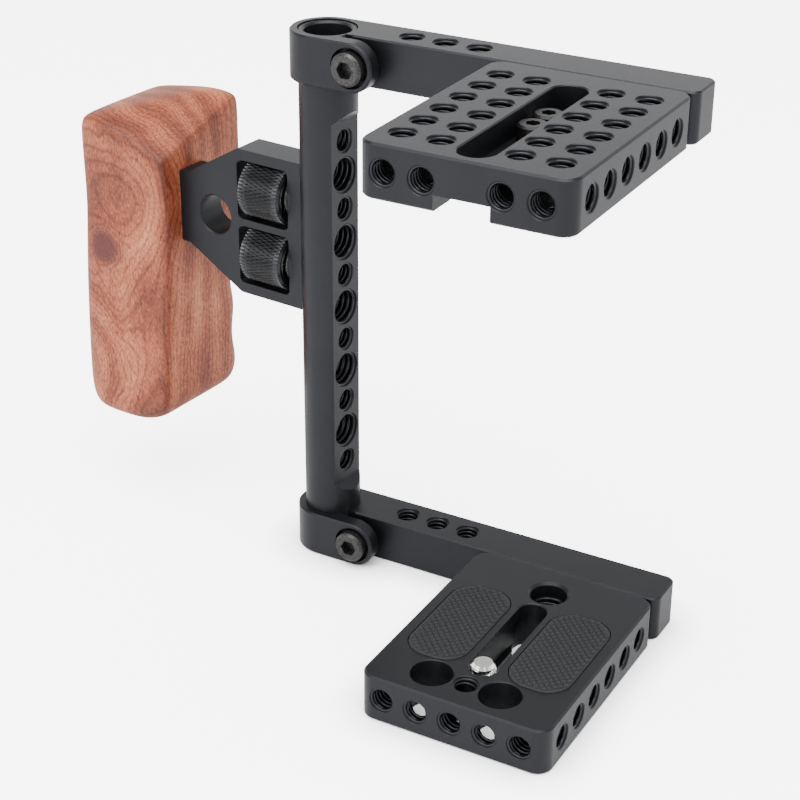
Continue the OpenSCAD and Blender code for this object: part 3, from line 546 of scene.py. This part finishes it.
def diamond_hatch_tree():
    """Blunt four-sided pyramids on a diamond lattice, inside a round-cornered field about each point."""
    add, given, tree = geometry_tree("diamond_hatch", {
        "Width": field_width, "Length": field_length, "Corner radius": field_corner, "Pitch": hatch_pitch,
        "Height": hatch_height, "Groove": hatch_groove}, {})
    reach = add(MATHS, given["Width"], given["Length"], operation="ADD")
    lines = add("FunctionNodeFloatToInt", add(MATHS, reach, given["Pitch"], operation="DIVIDE"))
    span = add(MATHS, lines, given["Pitch"], operation="MULTIPLY")
    count = add(MATHS, lines, 1.0, operation="ADD")
    grid = add("GeometryNodeMeshGrid", span, span, count, count)
    turned = add("GeometryNodeTransform", Geometry=grid, Rotation=(0, 0, math.radians(45)))
    at = add("ShaderNodeSeparateXYZ", add("GeometryNodeInputPosition")).outputs
    outside = []
    for axis, size in (("X", "Width"), ("Y", "Length")):
        half = add(MATHS, given[size], 0.5, operation="MULTIPLY")
        straight = add(MATHS, half, given["Corner radius"], operation="SUBTRACT")
        away = add(MATHS, at[axis], operation="ABSOLUTE")
        past = add(MATHS, away, straight, operation="SUBTRACT")
        outside.append(add(MATHS, past, 0.0, operation="MAXIMUM"))
    across_squared = add(MATHS, outside[0], outside[0], operation="MULTIPLY")
    both_squared = add(MATHS, outside[1], outside[1], across_squared, operation="MULTIPLY_ADD")
    corner = add(MATHS, both_squared, operation="SQRT")
    margin = add(MATHS, given["Pitch"], edge_margin_share, operation="MULTIPLY")
    limit = add(MATHS, given["Corner radius"], margin, operation="SUBTRACT")
    too_far = add(MATHS, corner, limit, operation="GREATER_THAN")
    kept = add("GeometryNodeDeleteGeometry", turned, too_far)
    side = add(MATHS, given["Pitch"], given["Groove"], operation="SUBTRACT")
    corner_reach = add(MATHS, side, math.sqrt(0.5), operation="MULTIPLY")
    top_reach = add(MATHS, corner_reach, stud_top_share, operation="MULTIPLY")
    stud = add("GeometryNodeMeshCone", Vertices=4, Radius_Bottom=corner_reach, Radius_Top=top_reach,
               Depth=given["Height"])
    placed = add("GeometryNodeInstanceOnPoints", Points=kept, Instance=stud)
    set_on_points(add, given, add("GeometryNodeRealizeInstances", placed))
    return tree


# Rubber is a dull, soft black, and the mould leaves it slightly uneven.
rubber, rubber_shader, rubber_add, rubber_place = new_material(
    "moulded_rubber", Roughness=0.66, IOR=1.52, Specular_IOR_Level=0.3)
rubber_clouds = drifting_colour(
    rubber_shader, rubber_add, rubber_place, rubber_cloud_width, "#18191b", "#222325", detail=4)
feed(rubber_shader, "Normal", rubber_add("ShaderNodeBump", Height=rubber_clouds, Strength=0.4,
                                         Distance=rubber_depth))
finish_nodes(rubber, "left_pad", "right_pad")
pad_hatch = join_meshes("pad_hatch", [run_tree(
    diamond_hatch_tree(), [(plates_middle + side * pad_offset, pad_row, pad_face) for side in (-1, 1)], {
        "Width": field_width, "Length": field_length, "Corner radius": field_corner, "Pitch": hatch_pitch,
        "Height": hatch_height, "Groove": hatch_groove, "Finish": rubber})], rubber)
crisp(pad_hatch, 15)
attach(pad_hatch, "base")

# Thumbwheels
# Two turned aluminium wheels with dished ends, black anodised, each beside a
# nickel-plated washer. The diamond knurl is rolled between their end bevels,
# in slim pyramids that lie along the wheels' axes.
wheel_middle = (-24.5 - 11.0) / 2
knurl_root, knurl_length, knurl_height = 7.76 * MM, 12.5 * MM, 0.28 * MM
diamonds_along, diamonds_around = 4, 52


def diamond_knurl_tree():
    """Slim pyramids on a diamond lattice, wrapped about the X axis and cut off square at both ends."""
    add, given, tree = geometry_tree("diamond_knurl", {
        "Root radius": knurl_root, "Length": knurl_length, "Height": knurl_height}, {
        "Diamonds along": diamonds_along, "Diamonds around": diamonds_around})
    columns_along = add(MATHS, given["Diamonds along"], 2.0, operation="MULTIPLY")
    rows_around = add(MATHS, given["Diamonds around"], 2.0, operation="MULTIPLY")
    half_along = add(MATHS, given["Length"], columns_along, operation="DIVIDE")
    half_around = add(MATHS, math.pi, given["Diamonds around"], operation="DIVIDE")
    # The lattice's angles are read as lengths of one metre a radian until they are wrapped.
    around = add(MATHS, 2 * math.pi, half_around, operation="SUBTRACT")
    lines_along = add(MATHS, columns_along, 1.0, operation="ADD")
    grid = add("GeometryNodeMeshGrid", given["Length"], around, lines_along, rows_around)
    at = add("ShaderNodeSeparateXYZ", add("GeometryNodeInputPosition")).outputs
    column = add(MATHS, add(MATHS, at["X"], half_along, operation="DIVIDE"), operation="ROUND")
    turned = add(MATHS, at["Y"], half_around, operation="DIVIDE")
    row = add(MATHS, add(MATHS, turned, 0.5, operation="ADD"), operation="ROUND")
    place_sum = add(MATHS, column, row, operation="ADD")
    left_over = add(MATHS, add(MATHS, place_sum, 2.0, operation="MODULO"), operation="ABSOLUTE")
    odd = add(MATHS, left_over, 0.5, operation="GREATER_THAN")
    kept = add("GeometryNodeDeleteGeometry", grid, odd)
    pyramid = add("GeometryNodeMeshCone", Vertices=4, Radius_Top=0.0, Radius_Bottom=1.0, Depth=1.0)
    size = add("ShaderNodeCombineXYZ", half_along, half_around, given["Height"])
    placed = add("GeometryNodeInstanceOnPoints", Points=kept, Instance=pyramid, Scale=size)
    flat_knurl = add("GeometryNodeRealizeInstances", placed)
    right_end = add(MATHS, given["Length"], 0.5, operation="MULTIPLY")
    left_end = add(MATHS, right_end, -1.0, operation="MULTIPLY")
    short_of_right = add(MATHS, at["X"], right_end, operation="MINIMUM")
    along = add(MATHS, short_of_right, left_end, operation="MAXIMUM")
    radius = add(MATHS, given["Root radius"], at["Z"], operation="ADD")
    wrapped = add("GeometryNodeSetPosition", flat_knurl, Position=add(
        "ShaderNodeCombineXYZ", along,
        add(MATHS, radius, add(MATHS, at["Y"], operation="COSINE"), operation="MULTIPLY"),
        add(MATHS, radius, add(MATHS, at["Y"], operation="SINE"), operation="MULTIPLY")))
    set_on_points(add, given, wrapped, own_axis="X")
    return tree


# Turned faces are smooth under their anodising, and give the wheels' rims a clear highlight.
wheel_black = anodised("anodised_turned_wheel", "#1d1e20", "#27282b", 0.22, relief=0.1)
finish_nodes(wheel_black, "upper_thumbwheel", "lower_thumbwheel")
finish_nodes(nickel, "upper_wheel_washer", "lower_wheel_washer")

# The knurl's crests are painted grey, a painted highlight, and its grooves near black, a painted shade,
# following how pointed the mesh is at each place.
knurl_black, knurl_shader, knurl_add = new_material(
    "anodised_knurl_painted_highlight_and_shade", Metallic=0.75, Roughness=0.25)[:3]
knurl_painted_highlight_and_shade = knurl_add("ShaderNodeMapRange", knurl_add("ShaderNodeNewGeometry").outputs["Pointiness"],
                         From_Min=0.52, From_Max=0.72)
feed(knurl_shader, "Base Color", knurl_add(MIX, knurl_painted_highlight_and_shade, data_type="RGBA", A=linear("#0f1011"),
                                           B=linear("#6c6e71")))
knurl_tree = diamond_knurl_tree()
for wheel_body, stud_hole in zip(("upper_wheel", "lower_wheel"), stud_holes):
    knurl = join_meshes(wheel_body + "_knurl", [run_tree(
        knurl_tree, [from_handle(wheel_middle, 0, rod_levels[stud_hole])], {
            "Root radius": knurl_root, "Length": knurl_length, "Height": knurl_height,
            "Diamonds along": diamonds_along, "Diamonds around": diamonds_around, "Finish": knurl_black},
        [handle_right])], knurl_black)
    crisp(knurl, 5)
    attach(knurl, wheel_body)

# Wooden grip
# A block of rosewood, carved and sanded by hand: a thumb facet on top, three
# shallow finger grooves at the back, all its edges rounded, and oiled. Two
# cap screws go in from its outer side.
bracket_face = -46.4
# All places in the grip are in the handle's millimetres, with the rod's axis at zero.
block_low, block_high, net_width = (-78.8, -15.5, 24.5), (bracket_face, 22.8, 115.6), 0.9
palm_edge, outer_edge = 0.7, 1.59
palm_depth, palm_ridge_height, palm_lean, palm_ridge_blend = 10.3, 86, 0.085, 4
back_depth, heel_low, heel_high, heel_swell = 17.6, 68, 90, 5.3
groove_depth, groove_pitch, first_groove = 0.5, 17.4, 53.6
grooves_low, grooves_low_fade, grooves_high, grooves_high_fade = 28, 6, 92, 8
# Each flat side has its slope and a place that it passes through.
thumb_facet = ((0.3404, -0.293, 0.8935), (bracket_face, -11.3, 104.5))
right_side = ((1, 0, 0), (bracket_face, 0, 0))
left_side = ((-1, 0, 0.0619), (-77.44, 0, 100))
left_front_bevel = ((-0.7073, -0.7069, 0), (-63.25 / 0.7073, 0, 0))
top_side, foot = ((-0.1663, 0, 1), (-62, 0, 115)), ((0, 0, -1), (0, 0, 25.69))
right_foot_bevel = ((0.5388, 0, -0.8425), (bracket_face, 0, 30.46))
left_foot_bevel = ((-0.7071, 0, -0.7071), (-78.8, 0, 27.97))
outer_flats = (left_side, left_front_bevel, top_side, foot, right_foot_bevel, left_foot_bevel)


def smooth_step(value, low, high):
    """Zero up to low, one from high on, and an even rise between them."""
    t = min(1, max(0, (value - low) / (high - low)))
    return t * t * (3 - 2 * t)


def soft_most(values, softness):
    """The largest value, raised a little where two are close, which rounds the edge between two sides."""
    most = max(values)
    return most + softness * math.log(sum(math.exp((value - most) / softness) for value in values))


def past_flat(flat, x, y, z):
    """How far a place lies outside a flat side."""
    (slope_x, slope_y, slope_z), (through_x, through_y, through_z) = flat
    return (x - through_x) * slope_x + (y - through_y) * slope_y + (z - through_z) * slope_z


def past_grip(x, y, z):
    """How far a place lies outside the grip: the distances of all its sides, blended at its edges."""
    groove_fade = (min(1, max(0, (grooves_high - z) / grooves_high_fade))
                   * min(1, max(0, (z - grooves_low) / grooves_low_fade)))
    groove = groove_depth * math.cos(2 * math.pi * (z - first_groove) / groove_pitch) * groove_fade
    lean = palm_lean * math.sqrt((z - palm_ridge_height) ** 2 + palm_ridge_blend ** 2)
    front = -y - palm_depth - lean
    palm = soft_most((front, past_flat(right_side, x, y, z), past_flat(thumb_facet, x, y, z)), palm_edge)
    back = y - back_depth - heel_swell * smooth_step(z, heel_low, heel_high) - groove
    return soft_most([palm, back] + [past_flat(flat, x, y, z) for flat in outer_flats], outer_edge)


def carve_grip(rounds=6, probe=0.02):
    """The block's surface as an even net, moved onto the carved shape in a few rounds."""
    counts = [round((high - low) / net_width) for low, high in zip(block_low, block_high)]
    work = bmesh.new()
    knots = {}

    def net_knot(index):
        """The vertex at a place in the net, made and moved at its first use."""
        if index not in knots:
            place = [low + (high - low) * i / n
                     for low, high, i, n in zip(block_low, block_high, index, counts)]
            for _ in range(rounds):
                off = past_grip(*place)
                slope = []
                for axis in range(3):
                    moved = list(place)
                    moved[axis] += probe
                    slope.append((past_grip(*moved) - off) / probe)
                steep = sum(s * s for s in slope)
                place = [p - off * s / steep for p, s in zip(place, slope)]
            knots[index] = work.verts.new(from_handle(*place))
        return knots[index]

    for axis in range(3):
        first, second = [i for i in range(3) if i != axis]
        for side in (0, counts[axis]):
            for i in range(counts[first]):
                for j in range(counts[second]):
                    ring = []
                    for step_i, step_j in ((0, 0), (1, 0), (1, 1), (0, 1)):
                        index = [0, 0, 0]
                        index[axis], index[first], index[second] = side, i + step_i, j + step_j
                        ring.append(net_knot(tuple(index)))
                    work.faces.new(ring)
    return plain_mesh("carved_grip", work)


def screw_hole(height, radius, start, end):
    """A round cutter along the handle, at a height, between two distances from the rod."""
    work = bmesh.new()
    along_handle = Matrix.Rotation(handle_turn, 4, "Z") @ Matrix.Translation((
        (start + end) / 2 * MM, 0, height * MM)) @ Matrix.Rotation(math.radians(90), 4, "Y")
    bmesh.ops.create_cone(work, cap_ends=True, segments=48, radius1=radius * MM, radius2=radius * MM,
                          depth=abs(end - start) * MM, matrix=along_handle)
    return plain_mesh("hole", work)


# Oiled rosewood is a warm red-brown with a soft sheen: dark growth rings that wander and swirl about a knot,
# and open pores. The rings' real spacing is about a millimetre, and the pores are drawn at three times their
# real width of 0.1 mm, to show.
wood, wood_shader, wood_add, wood_place = new_material(
    "oiled_rosewood", IOR=1.5, Roughness=0.5, Specular_IOR_Level=0.25)


def wood_drift(width, detail, along):
    """A drift in the wood's figure, so many millimetres wide, and so many times as long along the grain."""
    shares = [1 / (width * MM), 1 / (width * MM), 1 / (width * along * MM)]
    return wood_add(NOISE, Vector=wood_add(VECTOR_MATHS, wood_place, shares, operation="MULTIPLY"), Scale=1.0,
                    Detail=detail)


def wood_hill(place, radius):
    """A hill in the growth rings, such as a knot makes: one at its place, and about a third at its radius."""
    away = wood_add(VECTOR_MATHS, wood_place, from_handle(*place), operation="DISTANCE")
    near = wood_add(MATHS, away, radius * MM, operation="DIVIDE")
    squared = wood_add(MATHS, near, near, operation="MULTIPLY")
    return wood_add(MATHS, wood_add(MATHS, squared, -1.0, operation="MULTIPLY"), operation="EXPONENT")


def wood_past_flat(slope, through):
    """How far a place lies outside a flat side, in millimetres."""
    away = wood_add(VECTOR_MATHS, wood_place, from_handle(*slope) / MM ** 2, operation="DOT_PRODUCT")
    return wood_add(MATHS, away, sum(s * t for s, t in zip(slope, through)), operation="SUBTRACT")


wood_at = wood_add("ShaderNodeSeparateXYZ", wood_place).outputs
wander, ripple, cloud = wood_drift(20, 1, 3.0), wood_drift(3.5, 2, 2.0), wood_drift(13, 1, 1.6)
pores, speckle = wood_drift(0.32, 1, 3), wood_drift(0.6, 4, 2)
knot = wood_hill((-69.0, -11.5, 75.5), 4.8)
swirl, crown = wood_hill((-82, -12, 38), 22), wood_hill((-60, -16, 90), 14)

# The rings count up through the block, mostly from front to back, and bend about the hills.
growth = 0.0
for part, weight in ((wood_at["X"], 0.22 / MM), (wood_at["Y"], 0.85 / MM), (wander, 14.0), (ripple, 0.9),
                     (knot, 7.0), (swirl, 22.0), (crown, -6.0)):
    growth = wood_add(MATHS, part, weight, growth, operation="MULTIPLY_ADD")
rings = wood_add(MATHS, wood_add(MATHS, growth, 5.6, operation="MULTIPLY"), operation="SINE")
lifted_rings = wood_add(MATHS, rings, 0.5, 0.5, operation="MULTIPLY_ADD")
late_wood = wood_add(MATHS, lifted_rings, 5.0, operation="POWER")
broad_rings = wood_add(MATHS, wood_add(MATHS, growth, 0.9, operation="MULTIPLY"), operation="SINE")
deep_pores = wood_add(MATHS, wood_add(MATHS, pores, 0.56, operation="SUBTRACT"), 0.0, operation="MAXIMUM")
pore_mask = wood_add(MATHS, deep_pores, 5.0, operation="MULTIPLY")

# The clouds and the speckle vary about one half, and darken as much as they lighten.
cloud_weight, speckle_weight = 0.65, 0.75
wood_tone = 0.41 - (cloud_weight + speckle_weight) / 2
for part, weight in ((broad_rings, 0.09), (late_wood, -0.16), (knot, -0.42), (cloud, cloud_weight),
                     (speckle, speckle_weight), (pore_mask, -0.35)):
    wood_tone = wood_add(MATHS, part, weight, wood_tone, operation="MULTIPLY_ADD")

# Sanding opens the end grain along the palm's ridges, where oil soaks in and darkens it.
ridge_width, soak_weight = 1.6, -0.3
from_ridge = wood_add(MATHS, wood_at["Z"], -palm_ridge_height * MM, operation="ADD")
ridge_millimetres = wood_add(MATHS, from_ridge, MM, operation="DIVIDE")
ridge_squared = wood_add(MATHS, ridge_millimetres, 2.0, operation="POWER")
blended = wood_add(MATHS, ridge_squared, palm_ridge_blend ** 2, operation="ADD")
wood_lean = wood_add(MATHS, wood_add(MATHS, blended, operation="SQRT"), palm_lean, operation="MULTIPLY")
palm_front = wood_add(MATHS, wood_past_flat((0, -1, 0), (0, -palm_depth, 0)), wood_lean, operation="SUBTRACT")
palm_flats = (palm_front, wood_past_flat(*right_side), wood_past_flat(*thumb_facet))
outermost = palm_flats[0]
for side in palm_flats[1:]:
    outermost = wood_add(MATHS, outermost, side, operation="MAXIMUM")
soaked = -1.0
for side in palm_flats:
    behind = wood_add(MATHS, side, outermost, operation="SUBTRACT")
    shares = wood_add(MATHS, behind, ridge_width, operation="DIVIDE")
    soaked = wood_add(MATHS, wood_add(MATHS, shares, operation="EXPONENT"), soaked, operation="ADD")
soaked_speckle = wood_add(MATHS, speckle, soak_weight, operation="MULTIPLY")
wood_tone = wood_add(MATHS, soaked, soaked_speckle, wood_tone, operation="MULTIPLY_ADD")

wood_ramp = wood_add("ShaderNodeValToRGB", wood_tone)
tones = wood_ramp.color_ramp.elements
tones[0].position, tones[0].color = 0.0, linear("#4c2419")
tones[1].position, tones[1].color = 1.0, linear("#cb9273")
for position, shade in ((0.28, "#7c3d28"), (0.52, "#a05c3f"), (0.76, "#b87957")):
    tones.new(position).color = linear(shade)
# The knot's heart is purple-brown.
knot_share = wood_add(MATHS, knot, wood_add(MATHS, ripple, 1.5, operation="MULTIPLY"), operation="MULTIPLY")
feed(wood_shader, "Base Color", wood_add(MIX, knot_share, data_type="RGBA", A=wood_ramp, B=linear("#52292b")))
wood_relief, wood_depth = wood_add(MATHS, speckle, pore_mask, operation="SUBTRACT"), 0.05 * MM
feed(wood_shader, "Normal", wood_add("ShaderNodeBump", Height=wood_relief, Strength=0.5, Distance=wood_depth))

screw_heights, head_hole_radius, shank_hole_radius = (97.5, 83.9), 4.0, 2.2
hole_mouth, head_hole_end, shank_hole_end = -90, -72.6, -40
grip = join_meshes("carved_rosewood_grip", [carve_grip()], wood)
for height in screw_heights:
    cut_away(grip, screw_hole(height, head_hole_radius, hole_mouth, head_hole_end),
             screw_hole(height, shank_hole_radius, hole_mouth, shank_hole_end))
crisp(grip, 40)
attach(grip, "handle")
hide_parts("wood_grip")

# Floor and lights
# A plain pale sheet of paper, an overcast studio that is brightest towards
# the horizon, and soft lights. None of them is part of the cage.
floor_reach = 6.0
paper_glow_strength, paper_shade_reach = 4.5, 12 * MM
floor_mesh = bpy.data.meshes.new("floor")
floor_corners = [(x * floor_reach, y * floor_reach, 0) for x, y in ((-1, -1), (1, -1), (1, 1), (-1, 1))]
floor_mesh.from_pydata(floor_corners, [], [(0, 1, 2, 3)])
floor = bpy.data.objects.new("floor", floor_mesh)
bpy.context.scene.collection.objects.link(floor)
paper, paper_shader, paper_add = new_material("pale_paper", Roughness=0.9)[:3]
feed(paper_shader, "Base Color", linear("#fafafa"))
# The paper glows for the camera's own rays only, a painted brightness that lights nothing else. The glow
# fades, as painted shade, where the cage stands over the paper and close along its edges. The cage's faces
# mirror the unlit paper, so that they stay black.
paper_seen = paper_add("ShaderNodeLightPath").outputs["Is Camera Ray"]
paper_open = paper_add("ShaderNodeAmbientOcclusion", samples=8, Distance=paper_shade_reach).outputs["AO"]
paper_glow = paper_add(MATHS, paper_seen, paper_glow_strength, operation="MULTIPLY")
paper_glow_outside_painted_shade = paper_add(MATHS, paper_open, 2.0, operation="POWER")
feed(paper_shader, "Emission Color", (1, 1, 1, 1))
feed(paper_shader, "Emission Strength", paper_add(MATHS, paper_glow, paper_glow_outside_painted_shade, operation="MULTIPLY"))
floor_mesh.materials.append(paper)

world = bpy.data.worlds.new("studio")
bpy.context.scene.world = world
world.use_nodes = True
sky_add = partial(add_node, world.node_tree)
sky_at = sky_add("ShaderNodeSeparateXYZ", sky_add("ShaderNodeTexCoord").outputs["Generated"]).outputs
sky_fade = sky_add("ShaderNodeMapRange", sky_at["Z"], From_Min=0.34, From_Max=0.56, To_Min=2.15, To_Max=0.6)
background = world.node_tree.nodes["Background"]
feed(background, "Color", (1, 1, 1, 1))
feed(background, "Strength", sky_fade)


def softbox(name, place, target, width, height, power):
    """A rectangular lamp that faces a point, in metres and watts."""
    light = bpy.data.lights.new(name, "AREA")
    light.shape = "RECTANGLE"
    light.size, light.size_y, light.energy = width, height, power
    lamp = bpy.data.objects.new(name, light)
    lamp.location = place
    lamp.rotation_mode = "QUATERNION"
    lamp.rotation_quaternion = (Vector(target) - Vector(place)).to_track_quat("-Z", "Y")
    bpy.context.scene.collection.objects.link(lamp)


softbox("softbox_right", (0.9, 0.15, 0.5), (0.03, -0.02, 0.07), 0.7, 0.9, 1.0)
softbox("softbox_above", (0.1, -0.35, 1.3), (0.02, -0.03, 0.0), 1.4, 1.2, 40)
softbox("softbox_front", (-0.5, -0.9, 0.45), (0.0, -0.02, 0.07), 0.8, 0.8, 4)
